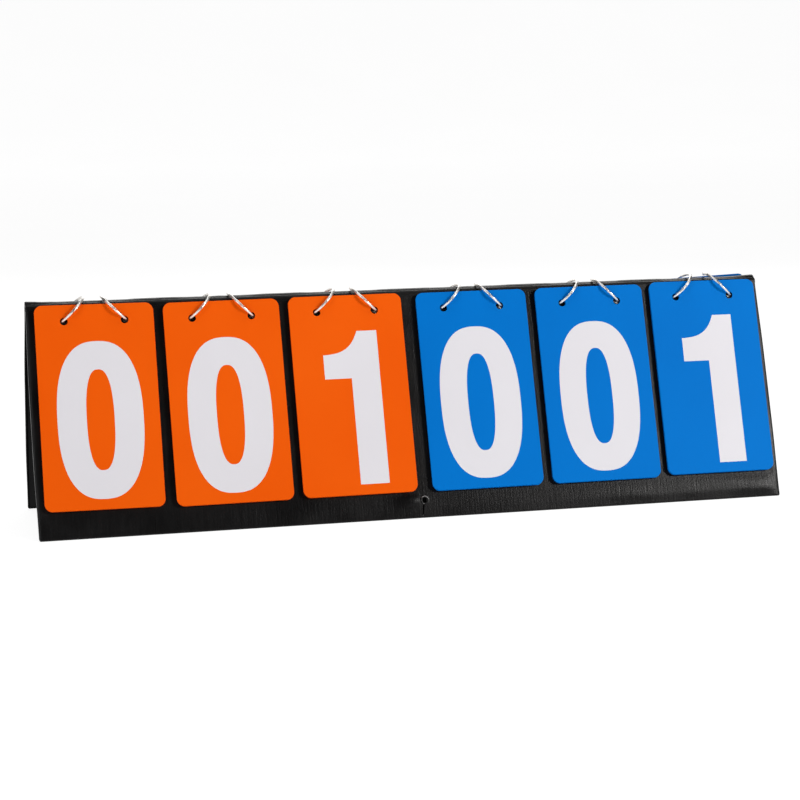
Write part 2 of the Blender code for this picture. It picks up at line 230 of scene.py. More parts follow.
def toRange(tree, source, low, high, fromLow=0.3, fromHigh=0.7):
    node = addNode(tree, "ShaderNodeMapRange")
    node.inputs["From Min"].default_value = fromLow
    node.inputs["From Max"].default_value = fromHigh
    node.inputs["To Min"].default_value = low
    node.inputs["To Max"].default_value = high
    tree.links.new(source, node.inputs["Value"])
    return node.outputs["Result"]


def mixColours(tree, source, first, second, low=0.3, high=0.7):
    ramp = addNode(tree, "ShaderNodeValToRGB")
    ramp.color_ramp.elements[0].position = low
    ramp.color_ramp.elements[0].color = (*first, 1.0)
    ramp.color_ramp.elements[1].position = high
    ramp.color_ramp.elements[1].color = (*second, 1.0)
    tree.links.new(source, ramp.inputs["Fac"])
    return ramp.outputs["Color"]


def addBump(tree, source, strength, distance, before=None):
    bump = addNode(tree, "ShaderNodeBump", Strength=strength, Distance=distance)
    tree.links.new(source, bump.inputs["Height"])
    if before:
        tree.links.new(before, bump.inputs["Normal"])
    return bump.outputs["Normal"]


# World

def makeWorld():  # faint as a light, white where a view from the side looks past the paper
    world = bpy.data.worlds.new("studio")
    scene.world = world
    world.use_nodes = True
    tree = world.node_tree
    background = tree.nodes["Background"]
    background.inputs["Color"].default_value = (1.0, 1.0, 1.0, 1.0)
    seen = addNode(tree, "ShaderNodeLightPath").outputs["Is Camera Ray"]
    strength = toRange(tree, seen, lighting["worldStrength"], lighting["worldSeen"], 0.0, 1.0)
    tree.links.new(strength, background.inputs["Strength"])


makeWorld()


# Finishes

def floorPaper():
    finish, tree, shader = newFinish("pale studio paper", (0.28, 0.28, 0.28), 0.9)
    shader.inputs["Specular IOR Level"].default_value = 0.0
    shader.inputs["Emission Color"].default_value = (1.0, 1.0, 1.0, 1.0)
    shader.inputs["Emission Strength"].default_value = lighting["paperGlow"]
    place = objectPlace(tree)
    cloud = addNoise(tree, place, 3.0)
    colour = mixColours(tree, cloud, (0.27, 0.27, 0.27), (0.29, 0.29, 0.29))
    tree.links.new(colour, shader.inputs["Base Color"])
    return finish


leather = {
    "dark": (0.0030, 0.0028, 0.0029),
    "light": (0.0058, 0.0054, 0.0056),
    "roughLow": 0.29,
    "roughHigh": 0.40,
    "roughSpread": 0.05,
    "specular": 0.20,
    "blotchScale": 28.0,
    "pebbleScale": 850.0,    # grains about 1.2 mm across
    "pebbleDepth": 0.00010,
    "streakScale": 700.0,
    "streakStretch": 0.07,
    "streakDepth": 0.00018,  # the fine vertical drag in the coating
    "fineScale": 2400.0,
    "fineDepth": 0.00002,
}


def leatherette():
    finish, tree, shader = newFinish("black leatherette", leather["dark"], 0.5)
    place = objectPlace(tree)
    streakPlace = objectPlace(tree, scale=(1.0, leather["streakStretch"], leather["streakStretch"]))
    blotch = addNoise(tree, place, leather["blotchScale"], 3.0)
    streak = addNoise(tree, streakPlace, leather["streakScale"], 4.0, 0.6)
    fine = addNoise(tree, place, leather["fineScale"], 2.0)
    pebble = addNode(
        tree, "ShaderNodeTexVoronoi", Scale=leather["pebbleScale"], feature="SMOOTH_F1", Smoothness=0.35
    )
    tree.links.new(place, pebble.inputs["Vector"])
    tree.links.new(mixColours(tree, blotch, leather["dark"], leather["light"]), shader.inputs["Base Color"])
    rough = addNode(tree, "ShaderNodeMath", operation="ADD")
    tree.links.new(toRange(tree, blotch, leather["roughLow"], leather["roughHigh"]), rough.inputs[0])
    tree.links.new(toRange(tree, streak, -leather["roughSpread"], leather["roughSpread"]), rough.inputs[1])
    tree.links.new(rough.outputs[0], shader.inputs["Roughness"])
    normal = addBump(tree, pebble.outputs["Distance"], 0.55, leather["pebbleDepth"])
    normal = addBump(tree, streak, 0.8, leather["streakDepth"], normal)
    normal = addBump(tree, fine, 0.35, leather["fineDepth"], normal)
    tree.links.new(normal, shader.inputs["Normal"])
    shader.inputs["Specular IOR Level"].default_value = leather["specular"]
    return finish


def liningPaper():
    finish, tree, shader = newFinish("black lining paper", (0.006, 0.006, 0.006), 0.75)
    shader.inputs["Specular IOR Level"].default_value = 0.12
    place = objectPlace(tree)
    fibre = addNoise(tree, place, 900.0, 5.0, 0.65)
    colour = mixColours(tree, fibre, (0.0045, 0.0045, 0.0048), (0.0085, 0.0083, 0.0086))
    tree.links.new(colour, shader.inputs["Base Color"])
    tree.links.new(addBump(tree, fibre, 0.5, 0.00006), shader.inputs["Normal"])
    return finish


def boardDarkAsShade():
    # painted shade: the board is coloured near black so that where it shows through the holes and slits it
    # reads as shade
    finish, tree, shader = newFinish("bookbinder's board darkened as painted shade", (0.030, 0.029, 0.028), 0.9)
    place = objectPlace(tree)
    fibre = addNoise(tree, place, 600.0, 6.0, 0.7)
    colour = mixColours(tree, fibre, (0.022, 0.021, 0.020), (0.038, 0.036, 0.034))
    tree.links.new(colour, shader.inputs["Base Color"])
    tree.links.new(addBump(tree, fibre, 0.5, 0.0001), shader.inputs["Normal"])
    return finish


def cardVinyl(name, low, high, roughness):
    finish, tree, shader = newFinish(name, high, roughness)
    place = objectPlace(tree)
    cloud = addNoise(tree, place, 11.0, 2.0)
    speck = addNoise(tree, place, 1500.0, 2.0)
    tree.links.new(mixColours(tree, cloud, low, high), shader.inputs["Base Color"])
    tree.links.new(toRange(tree, speck, roughness - 0.05, roughness + 0.05), shader.inputs["Roughness"])
    tree.links.new(addBump(tree, speck, 0.15, 0.00001), shader.inputs["Normal"])
    shader.inputs["Specular IOR Level"].default_value = 0.03
    return finish


def ringSteel():
    finish, tree, shader = newFinish("bright nickel wire", (0.88, 0.85, 0.81), 0.36, 1.0)
    place = objectPlace(tree)
    drawn = addNoise(tree, place, 420.0, 3.0)
    colour = mixColours(tree, drawn, (0.85, 0.815, 0.77), (0.92, 0.895, 0.86))
    tree.links.new(colour, shader.inputs["Base Color"])
    tree.links.new(toRange(tree, drawn, 0.32, 0.42), shader.inputs["Roughness"])
    tree.links.new(addBump(tree, drawn, 0.04, 0.00001), shader.inputs["Normal"])
    return finish


floorFinish = floorPaper()
leatherFinish = leatherette()
liningFinish = liningPaper()
boardShadeFinish = boardDarkAsShade()
orangeFinish = cardVinyl("orange card vinyl", (0.890, 0.104, 0.002), (0.925, 0.118, 0.003), 0.50)
blueFinish = cardVinyl("blue card vinyl", (0.0, 0.166, 0.590), (0.0, 0.180, 0.625), 0.50)
numeralFinish = cardVinyl("off-white print", (0.775, 0.755, 0.795), (0.800, 0.785, 0.825), 0.50)
steelFinish = ringSteel()
print("finishes made")


# Mesh helpers

def finishPiece(name, mesh, finishes, smooth=False, place=None, sharpDegrees=35.0):
    if place:
        bmesh.ops.transform(mesh, matrix=place, verts=mesh.verts)
    data = bpy.data.meshes.new(name)
    mesh.to_mesh(data)
    mesh.free()
    if smooth:
        data.shade_smooth()
        data.set_sharp_from_angle(angle=radians(sharpDegrees))
    for finish in finishes:
        data.materials.append(finish)
    piece = bpy.data.objects.new(name, data)
    scene.collection.objects.link(piece)
    return piece


def bakeModifiers(piece):  # swaps the piece's mesh for the one its modifiers make
    bpy.context.view_layer.update()
    shown = piece.evaluated_get(bpy.context.evaluated_depsgraph_get())
    made = bpy.data.meshes.new_from_object(shown)
    old = piece.data
    piece.modifiers.clear()
    piece.data = made
    bpy.data.meshes.remove(old)


def cutAway(piece, cutter):
    boolean = piece.modifiers.new("cut", "BOOLEAN")
    boolean.operation = "DIFFERENCE"
    boolean.solver = "EXACT"
    boolean.object = cutter
    bakeModifiers(piece)
    bpy.data.objects.remove(cutter)


def addSlot(mesh, x, y, radius, low, high, reach=0.0, segments=20):
    ring = bmesh.ops.create_circle(mesh, cap_ends=True, segments=segments, radius=radius)["verts"]
    for v in ring:
        v.co.x += reach / 2 if v.co.x > 1e-6 else -reach / 2
    bmesh.ops.translate(mesh, vec=(x, y, low), verts=ring)
    face = next(f for f in mesh.faces if all(v in ring for v in f.verts))
    grown = bmesh.ops.extrude_face_region(mesh, geom=[face])["geom"]
    top = [v for v in grown if isinstance(v, bmesh.types.BMVert)]
    bmesh.ops.translate(mesh, vec=(0, 0, high - low), verts=top)


# Leatherette covers

cover = {
    "skin": 0.0007,
    "edgeRound": 0.0015,
    "topGap": 0.0028,          # the spine's leatherette reaches this far down the panel
    "innerTopGap": 0.0032,
    "cutSpacing": 0.006,
    "cutsEachWay": 49,
    "cutsDown": 26,
    "endCutSpacing": 0.0008,
    "footCutSpacing": 0.0013,
    "rimCutSpacing": 0.00045,
    "cutSnap": 0.00012,
    "outerFaceDepth": 0.0003,  # only the face above this depth is loose
    "holeRadius": 0.0031,
    "punch": (-0.004, 0.005),
    "frontHoles": {"outward": 0.0021, "drop": 0.0024, "reach": 0.0020},
    "rearHoles": {"outward": -0.0021, "drop": 0.00135, "reach": 0.0042},
    "reliefRadius": 0.0022,
    "reliefRise": 0.0145,
    "reliefOffset": 0.0011,
    "slitTopShare": -0.38,     # where it starts on the hole's edge, across its radius
    "slitTopReach": 0.15,
    "slitFootOffset": -0.0024,  # from the middle of the hole
    "slitFootWidth": 0.0006,
    "slitFootRise": 0.0022,    # it ends just above the foot's turned edge
}
loose = {  # how the leatherette stands off the boards; a pair says where a swell starts and where it is full
    "frontSeed": 3.1,
    "rearSeed": 7.7,
    "height": 0.00035,
    "belowCards": (0.158, 0.171),
    "aboveFoot": (0.0, 0.009),
    "cornerHeight": 0.00065,
    "towardsCorner": (0.05, 0.285),
    "waveScale": (26, 45),
    "waveShare": 0.35,
    "crinkleScale": (150, 90),
    "crinkleHeight": 0.00006,
    "crinkleLeast": 0.4,
    "crinkleTowardsCorner": (0.1, 0.28),
    "inFromEnd": (0.0008, 0.010),
    "beadHeight": 0.00022,         # the low ridge along each end
    "beadOutside": (0.0010, 0.0030),
    "beadInside": (0.0075, 0.0030),
    "beadBelowHinge": (0.004, 0.012),
    "puckerHeight": 0.00032,       # the ring round the relief hole
    "puckerReach": 0.0040,
    "puckerOutside": (0.0, 0.0013),
    "puckerInside": (0.0019, 0.0026),
    "bulgeHeight": 0.0010,         # the swell to the left of the relief hole
    "bulgeLeft": 0.011,
    "bulgeSize": (0.012, 0.007),
    "bulgeShare": (0.0, 0.8),
    "endPuff": 0.0008,             # how much its turned ends stand out at mid height
    "puffNearEnd": (0.006, 0.0003),
    "puffBelowHinge": (0.003, 0.060),
    "puffAboveFoot": (0.0, 0.060),
}
ringWire = {
    "wireRadius": 0.0011,
    "ringRadius": 0.0150,
    "leanDegrees": 46.0,
    "jointDegrees": 168.0,     # the hinge joint, from the back of the ring over its top
    "jointLength": 0.0065,
    "gap": 0.0003,
    "overHole": 0.0009,
    "outward": 0.00025,
    "rearRise": 0.0002,
    "rearRiseOf": {(6, "left"): 0.0, (6, "right"): 0.0007},
    "rearCardDepth": 0.0025,
    "sides": 16,
    "steps": 40,
    "rivetRadius": 0.00038,
    "rivetStretch": 2.80,
}


def wireX(deck, side):
    return decks["centres"][deck - 1] + sides[side] * (decks["holeSpacing"] / 2 + ringWire["outward"])


def frontCrossing(deck, side):  # where the wire goes through the top card
    return frontPanel @ Vector((wireX(deck, side), holeY(deck) + ringWire["overHole"], decks["topMiddle"]))


def rearCrossing(deck, side):  # where it goes through a card that hangs at the back
    depth = ringWire["rearCardDepth"]
    height = frontCrossing(deck, side).z + ringWire["rearRiseOf"].get((deck, side), ringWire["rearRise"])
    return rearPanel @ Vector((-wireX(deck, side), (height - hingeZ - depth * sin(lean)) / cos(lean), depth))


def fade(value, low, high):  # 0 below low, 1 above high, smooth between
    t = min(1.0, max(0.0, (value - low) / (high - low)))
    return t * t * (3 - 2 * t)


def looseness(x, y, reliefX, reliefY, isFront):  # how far the leatherette stands off the board
    seed = loose["frontSeed"] if isFront else loose["rearSeed"]
    worldX = x if isFront else -x
    fromEnd = end - abs(x)
    strip = fade(-y, *loose["belowCards"]) * fade(y - footY(half), *loose["aboveFoot"])
    swell = loose["height"] + loose["cornerHeight"] * fade(worldX, *loose["towardsCorner"])
    waveX, waveY = loose["waveScale"]
    wave = noise.noise(Vector((x * waveX, y * waveY, seed)))
    crinkleX, crinkleY = loose["crinkleScale"]
    crinkle = noise.noise(Vector((x * crinkleX, y * crinkleY, seed)))
    crinkle *= loose["crinkleLeast"] + fade(worldX, *loose["crinkleTowardsCorner"])
    height = strip * (swell * (1 + loose["waveShare"] * wave) + loose["crinkleHeight"] * crinkle)
    height *= fade(fromEnd, *loose["inFromEnd"])

    bead = fade(fromEnd, *loose["beadOutside"]) * fade(abs(x), *(end - d for d in loose["beadInside"]))
    height += loose["beadHeight"] * bead * fade(-y, *loose["beadBelowHinge"])

    away = hypot(x - reliefX, y - reliefY)
    pucker = fade(loose["puckerReach"] - away, *loose["puckerOutside"]) * fade(away, *loose["puckerInside"])
    height += loose["puckerHeight"] * pucker

    toRight = (x - reliefX) if isFront else (reliefX - x)
    bulgeWidth, bulgeRise = loose["bulgeSize"]
    fromBulge = hypot((toRight + loose["bulgeLeft"]) / bulgeWidth, (y - reliefY) / bulgeRise)
    return height + loose["bulgeHeight"] * fade(1 - fromBulge, *loose["bulgeShare"])


def endPuff(x, y, z):  # how far the turned leatherette stands out of the board's end
    nearEnd = fade(abs(x), *(end - d for d in loose["puffNearEnd"]))
    alongEnd = fade(-y, *loose["puffBelowHinge"]) * fade(y - footY(z), *loose["puffAboveFoot"])
    return loose["endPuff"] * nearEnd * alongEnd


def makeCover(name, panel, isFront):
    mesh = bmesh.new()
    bmesh.ops.create_cube(mesh, size=1.0)
    bmesh.ops.scale(mesh, vec=(board["length"], 1.0, board["thickness"]), verts=mesh.verts)
    for v in mesh.verts:
        if v.co.y < 0:
            v.co.y = footY(v.co.z)
        else:
            v.co.y = -cover["topGap"] if v.co.z > 0 else -cover["innerTopGap"]
    openFaces = [f for f in mesh.faces if f.normal.z < -0.9 or f.normal.y > 0.9]
    bmesh.ops.delete(mesh, geom=openFaces, context="FACES_ONLY")
    folds = [e for e in mesh.edges if len(e.link_faces) == 2]
    bmesh.ops.bevel(
        mesh, geom=folds, offset=cover["edgeRound"], segments=5, profile=0.5, affect="EDGES", material=-1
    )

    reliefX = cover["reliefOffset"] if isFront else -cover["reliefOffset"]
    reliefY = footY(half) + cover["reliefRise"]
    eachWay = cover["cutsEachWay"]
    cutsX = [i * cover["cutSpacing"] for i in range(-eachWay, eachWay + 1)]
    cutsX += [s * (end - d * cover["endCutSpacing"]) for s in (-1, 1) for d in range(2, 13)]
    cutsX += [reliefX + i * cover["rimCutSpacing"] for i in range(-10, 11)]
    cutsY = [-i * cover["cutSpacing"] for i in range(1, cover["cutsDown"] + 1)]
    cutsY += [footY(half) + i * cover["footCutSpacing"] for i in range(1, 18)]
    cutsY += [reliefY + i * cover["rimCutSpacing"] for i in range(-10, 11)]
    for normal, places in (((1, 0, 0), cutsX), ((0, 1, 0), cutsY)):
        for place in sorted(places):
            bmesh.ops.bisect_plane(
                mesh, geom=mesh.verts[:] + mesh.edges[:] + mesh.faces[:], dist=cover["cutSnap"],
                plane_co=[place * n for n in normal], plane_no=normal,
            )
    for v in mesh.verts:
        x, y = v.co.x, v.co.y
        if v.co.z > half - cover["outerFaceDepth"]:
            v.co.z += looseness(x, y, reliefX, reliefY, isFront)
        puff = endPuff(x, y, v.co.z)
        v.co.x += puff if x > 0 else -puff
    bmesh.ops.recalc_face_normals(mesh, faces=mesh.faces)
    if sum(f.normal.z * f.calc_area() for f in mesh.faces) < 0:
        bmesh.ops.reverse_faces(mesh, faces=mesh.faces)
    piece = finishPiece(name, mesh, [leatherFinish], place=panel)
    wall = piece.modifiers.new("skin", "SOLIDIFY")
    wall.thickness = cover["skin"]
    wall.offset = -1.0
    bakeModifiers(piece)

    cutter = bmesh.new()
    toPanel = panel.inverted()
    low, high = cover["punch"]
    hole = cover["frontHoles" if isFront else "rearHoles"]
    for deck in range(1, 7):
        for side, sign in sides.items():
            crossing = toPanel @ (frontCrossing if isFront else rearCrossing)(deck, side)
            x, y = crossing.x + sign * hole["outward"], crossing.y - hole["drop"]
            addSlot(cutter, x, y, cover["holeRadius"], low, high, hole["reach"])
    before = set(cutter.verts)
    addSlot(cutter, reliefX, reliefY, cover["reliefRadius"], low, high, 0.0, 24)
    keyhole = [v for v in cutter.verts if v not in before]
    turned = 1 if isFront else -1
    slitTop = reliefX + turned * cover["slitTopShare"] * cover["reliefRadius"]
    slitReach = cover["slitTopReach"] * cover["reliefRadius"]
    slitCorners = [v for v in keyhole if abs(v.co.x - slitTop) < slitReach and v.co.y < reliefY]
    slitMiddle = sum(v.co.x for v in slitCorners) / len(slitCorners)
    for v in slitCorners:  # two low corners of the hole run down and make the slit
        side = 1 if v.co.x > slitMiddle else -1
        v.co.x = reliefX + turned * cover["slitFootOffset"] + side * cover["slitFootWidth"] / 2
        v.co.y = footY(half) + cover["slitFootRise"]
    cutAway(piece, finishPiece("holeCutter", cutter, [leatherFinish], place=panel))
    piece.data.shade_smooth()
    piece.data.set_sharp_from_angle(angle=radians(42))
    return piece


rim = {
    "radius": 0.0029,
    "tube": 0.00038,
    "proud": 0.00035,    # its middle above the leatherette's flat face
    "sunk": 0.0011,      # its lower right part goes under the leatherette
    "sunkTowards": (0.42, -0.91),
    "sunkRange": (0.0009, 0.0021),
    # partly painted highlight: the grey of the backing cloth at the cut edge is made lighter so that the rim
    # looks lit
    "dark": (0.150, 0.146, 0.146),
    "light": (0.300, 0.292, 0.292),
    "roughness": 0.45,
}


def cutEdgeClothAndHighlight():
    finish, tree, shader = newFinish("backing cloth at the cut edge with painted highlight", rim["dark"], rim["roughness"])
    place = objectPlace(tree)
    wear = addNoise(tree, place, 1300.0, 3.0)
    tree.links.new(mixColours(tree, wear, rim["dark"], rim["light"]), shader.inputs["Base Color"])
    roughness = toRange(tree, wear, rim["roughness"] - 0.05, rim["roughness"] + 0.08)
    tree.links.new(roughness, shader.inputs["Roughness"])
    tree.links.new(addBump(tree, wear, 0.3, 0.00003), shader.inputs["Normal"])
    return finish


def makeReliefRim(name, panel, isFront):  # the punched edge of the leatherette, curled up round the hole
    turned = 1 if isFront else -1
    mesh = bmesh.new()
    tube = bmesh.ops.create_circle(mesh, cap_ends=False, segments=10, radius=rim["tube"])["verts"]
    bmesh.ops.rotate(mesh, cent=(0, 0, 0), matrix=Matrix.Rotation(pi / 2, 3, "X"), verts=tube)
    bmesh.ops.translate(mesh, vec=(rim["radius"], 0, 0), verts=tube)
    bmesh.ops.spin(
        mesh, geom=mesh.verts[:] + mesh.edges[:], cent=(0, 0, 0), axis=(0, 0, 1), angle=2 * pi, steps=40,
        use_merge=True,
    )
    bmesh.ops.recalc_face_normals(mesh, faces=mesh.faces)
    towardsX, towardsY = rim["sunkTowards"]
    for v in mesh.verts:
        lowerRight = turned * towardsX * v.co.x + towardsY * v.co.y
        v.co.z -= rim["sunk"] * fade(lowerRight, *rim["sunkRange"])
    middle = (turned * cover["reliefOffset"], footY(half) + cover["reliefRise"], half + rim["proud"])
    bmesh.ops.translate(mesh, vec=middle, verts=mesh.verts)
    return finishPiece(name, mesh, [rimFinish], smooth=True, place=panel)


rimFinish = cutEdgeClothAndHighlight()
for name, panel, isFront in (("frontReliefRim", frontPanel, True), ("rearReliefRim", rearPanel, False)):
    piece = makeReliefRim(name, panel, isFront)
    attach(piece, "front_panel" if isFront else "rear_panel")
for name, panel, isFront in (("frontLeather", frontPanel, True), ("rearLeather", rearPanel, False)):
    piece = makeCover(name, panel, isFront)
    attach(piece, "front_panel" if isFront else "rear_panel")
    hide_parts("front_cover" if isFront else "rear_cover")
print("covers made")


# Spine leatherette, one half turning over each hinge

spine = {
    "skin": 0.0006,
    "grooveDepth": 0.00025,
    "crown": 0.0011,
    "archSteps": 5,
    "archInset": 0.0006,     # from the hinge axis to where the arch ends
    "endRound": 0.0010,
    "endFold": ((0.45, 0.00004), (0.35, 0.00015), (0.20, 0.0004), (0.0, 0.0)),  # out and in, 0 for full depth
    "endDepth": 0.0032,
    "turnEndDepth": 0.0016,
    "flapEndDepth": 0.0030,
    "flapSteps": (0.0004, 0.0014, 0.00274),  # how far down the panel it reaches
    "cutSnap": 0.0001,
    "waveHeight": 0.00012,
    "waveScale": 22,
    "waveFade": 0.004,
    "topFaceDepth": 0.0006,
    "betweenRise": 0.0003,   # the padding rises between the rings and at both ends
    "betweenRange": (0.011, 0.019),
    "endRise": 0.0007,
    "endRange": (0.286, 0.299),
    "ringMiddle": 0.0157,    # from a deck's centre to the middle of the stretch under a ring
}


def spineRise(x, y):
    away = min(abs(abs(x - centre) - spine["ringMiddle"]) for centre in decks["centres"])
    rise = spine["betweenRise"] * fade(away, *spine["betweenRange"])
    rise += spine["endRise"] * fade(abs(x), *spine["endRange"])
    return rise * max(0.0, 1 - (y / hingeY) ** 2)


def spineProfile():  # half of the section, from its middle to the panel: y, z, normal, depth at the ends
    flatEnd = hingeY - spine["archInset"]
    steps = spine["archSteps"]
    points = []
    for i in range(steps + 1):
        y = flatEnd * i / steps
        z = topZ + spine["crown"] * (1 - (i / steps) ** 2)
        slope = Vector((-2 * spine["crown"] * i / (steps * flatEnd), 1.0)).normalized()
        points.append((-y, z, (slope.x, slope.y), spine["endDepth"]))
    for degrees in range(90, 162, 8):
        groove = spine["grooveDepth"] * sin(pi * (degrees - 84) / 78)
        angle = radians(degrees)
        radius = half - groove
        normal = (cos(angle), sin(angle))
        y, z = -hingeY + radius * normal[0], hingeZ + radius * normal[1]
        points.append((y, z, normal, spine["turnEndDepth"]))
    out = (-cos(lean), sin(lean))
    down = (-sin(lean), -cos(lean))
    for step in spine["flapSteps"]:
        y = -hingeY + half * out[0] + step * down[0]
        z = hingeZ + half * out[1] + step * down[1]
        points.append((y, z, out, spine["flapEndDepth"]))
    return points


def makeSpineHalf(name, isFront):
    turn = end - spine["endRound"]
    profile = spineProfile()
    mesh = bmesh.new()
    verts = [mesh.verts.new((-turn, y, z)) for y, z, _, _ in profile]
    edges = [mesh.edges.new(pair) for pair in zip(verts, verts[1:])]
    grown = bmesh.ops.extrude_edge_only(mesh, edges=edges)["geom"]
    farVerts = [v for v in grown if isinstance(v, bmesh.types.BMVert)]
    bmesh.ops.translate(mesh, vec=(2 * turn, 0, 0), verts=farVerts)
    for sign in (-1, 1):  # the leatherette turns down over each end
        x = sign * turn
        for out, sink in spine["endFold"]:
            border = [e for e in mesh.edges if e.is_boundary and all(abs(v.co.x - x) < 1e-6 for v in e.verts)]
            grown = bmesh.ops.extrude_edge_only(mesh, edges=border)["geom"]
            x += sign * out * spine["endRound"]
            for v in (g for g in grown if isinstance(g, bmesh.types.BMVert)):
                y, z, normal, depth = min(profile, key=lambda p: hypot(p[0] - v.co.y, p[1] - v.co.z))
                depth = sink or depth
                v.co = Vector((x, y - depth * normal[0], z - depth * normal[1]))
    for i in range(-cover["cutsEachWay"], cover["cutsEachWay"] + 1):
        bmesh.ops.bisect_plane(
            mesh, geom=mesh.verts[:] + mesh.edges[:] + mesh.faces[:], dist=spine["cutSnap"],
            plane_co=(i * cover["cutSpacing"], 0, 0), plane_no=(1, 0, 0),
        )
    for v in mesh.verts:
        if v.co.z > topZ - spine["topFaceDepth"]:
            x = v.co.x if isFront else -v.co.x
            wave = spine["waveHeight"] * noise.noise(Vector((x * spine["waveScale"], 0.3, 1.7)))
            v.co.z += spineRise(x, v.co.y) + wave * fade(turn - abs(x), 0.0, spine["waveFade"])
    bmesh.ops.recalc_face_normals(mesh, faces=mesh.faces)
    if sum(f.normal.z * f.calc_area() for f in mesh.faces) < 0:
        bmesh.ops.reverse_faces(mesh, faces=mesh.faces)
    if not isFront:
        bmesh.ops.rotate(mesh, cent=(0, 0, 0), matrix=Matrix.Rotation(pi, 3, "Z"), verts=mesh.verts)
    piece = finishPiece(name, mesh, [leatherFinish])
    wall = piece.modifiers.new("skin", "SOLIDIFY")
    wall.thickness = spine["skin"]
    wall.offset = -1.0
    bakeModifiers(piece)
    piece.data.shade_smooth()
    piece.data.set_sharp_from_angle(angle=radians(42))
    return piece


for name, isFront in (("spineLeatherFront", True), ("spineLeatherRear", False)):
    piece = makeSpineHalf(name, isFront)
    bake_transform(piece)
    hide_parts("front_hinge_strip" if isFront else "rear_hinge_strip")
    if isFront:
        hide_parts("spine_cover")
print("spine made")


# Cards

leaves = {
    "count": 7,
    "thickness": 0.00033,
    "slip": 0.00015,       # how far a card may lie from its neighbours
    "turnDegrees": 0.06,
    "fan": 0.0008,         # how far the deck slants to the right, from its top card to its last
    "fanOutside": {"side": 0.037, "top": 0.0075, "low": -0.02},  # the outline slants, the holes stay
    "seed": 11,
}
cardHoles = {  # drawn out and widened below the top card, so that its round holes show dark
    "top": {},
    "next": {"outward": 0.0007, "rise": 0.0002, "reach": 0.0014, "more": 0.0002},
    "leaf": {"outward": 0.0015, "rise": -0.0007, "reach": 0.0030, "more": 0.0007},
    "flipped": {"outward": 0.0022, "reach": 0.0042},
}
cardEdge = {"cornerSegments": 12, "holeSegments": 32, "edgeRound": 0.00009}


def cardBlank(name, thickness, finish, outward=0.0, rise=0.0, reach=0.0, more=0.0):
    mesh = bmesh.new()
    bmesh.ops.create_cube(mesh, size=1.0)
    bmesh.ops.scale(mesh, vec=(decks["cardWidth"], decks["cardHeight"], thickness), verts=mesh.verts)
    bmesh.ops.translate(mesh, vec=(0, decks["holeDrop"] - decks["cardHeight"] / 2, 0), verts=mesh.verts)
    uprights = [e for e in mesh.edges if abs(e.verts[0].co.z - e.verts[1].co.z) > thickness / 2]
    bmesh.ops.bevel(
        mesh, geom=uprights, offset=decks["cardCorner"], segments=cardEdge["cornerSegments"], profile=0.5,
        affect="EDGES", material=-1,
    )
    card = finishPiece(name, mesh, [finish])
    cutter = bmesh.new()
    radius = decks["holeRadius"] + more
    for sign in (-1, 1):
        x = sign * (decks["holeSpacing"] / 2 + outward)
        addSlot(cutter, x, rise, radius, -thickness, thickness, reach, cardEdge["holeSegments"])
    cutAway(card, finishPiece("punch", cutter, [finish]))
    rounding = card.modifiers.new("edge", "BEVEL")
    rounding.width = cardEdge["edgeRound"]
    rounding.segments = 2
    rounding.limit_method = "ANGLE"
    rounding.angle_limit = radians(40)
    bakeModifiers(card)
    card.data.shade_smooth()
    card.data.set_sharp_from_angle(angle=radians(20))
    return card


def deckPlace(deck, depth):
    turn = Matrix.Rotation(radians(decks["turnDegrees"][deck - 1]), 4, "Z")
    return frontPanel @ Matrix.Translation((decks["centres"][deck - 1], holeY(deck), depth)) @ turn


def makeLeaves(deck, finish):
    leaf = cardBlank("deckLeaves_%d" % deck, leaves["thickness"], finish, **cardHoles["leaf"])
    mesh = bmesh.new()
    mesh.from_mesh(leaf.data)
    first = mesh.verts[:] + mesh.edges[:] + mesh.faces[:]
    dice = random.Random(leaves["seed"] + deck)
    pitch = (decks["stackHigh"] - decks["stackLow"]) / leaves["count"]
    for i in range(leaves["count"]):
        copy = bmesh.ops.duplicate(mesh, geom=first)["geom"]
        verts = [v for v in copy if isinstance(v, bmesh.types.BMVert)]
        turn = Matrix.Rotation(radians(dice.uniform(-1, 1) * leaves["turnDegrees"]), 4, "Z")
        slipX = dice.uniform(-1, 1) * leaves["slip"]
        slipY = dice.uniform(-1, 1) * leaves["slip"]
        slip = (slipX, slipY, decks["stackLow"] + (i + 0.5) * pitch)
        bmesh.ops.transform(mesh, matrix=Matrix.Translation(slip) @ turn, verts=verts)
        outside = leaves["fanOutside"]
        outline = [
            v for v in verts
            if abs(v.co.x) > outside["side"] or v.co.y > outside["top"] or v.co.y < outside["low"]
        ]
        fan = leaves["fan"] * (1 - (i + 0.5) / leaves["count"])
        bmesh.ops.translate(mesh, vec=(fan, 0, 0), verts=outline)
    bmesh.ops.delete(mesh, geom=[v for v in first if isinstance(v, bmesh.types.BMVert)], context="VERTS")
    bmesh.ops.transform(mesh, matrix=deckPlace(deck, 0.0), verts=mesh.verts)
    mesh.to_mesh(leaf.data)
    mesh.free()
    return leaf


# Numerals

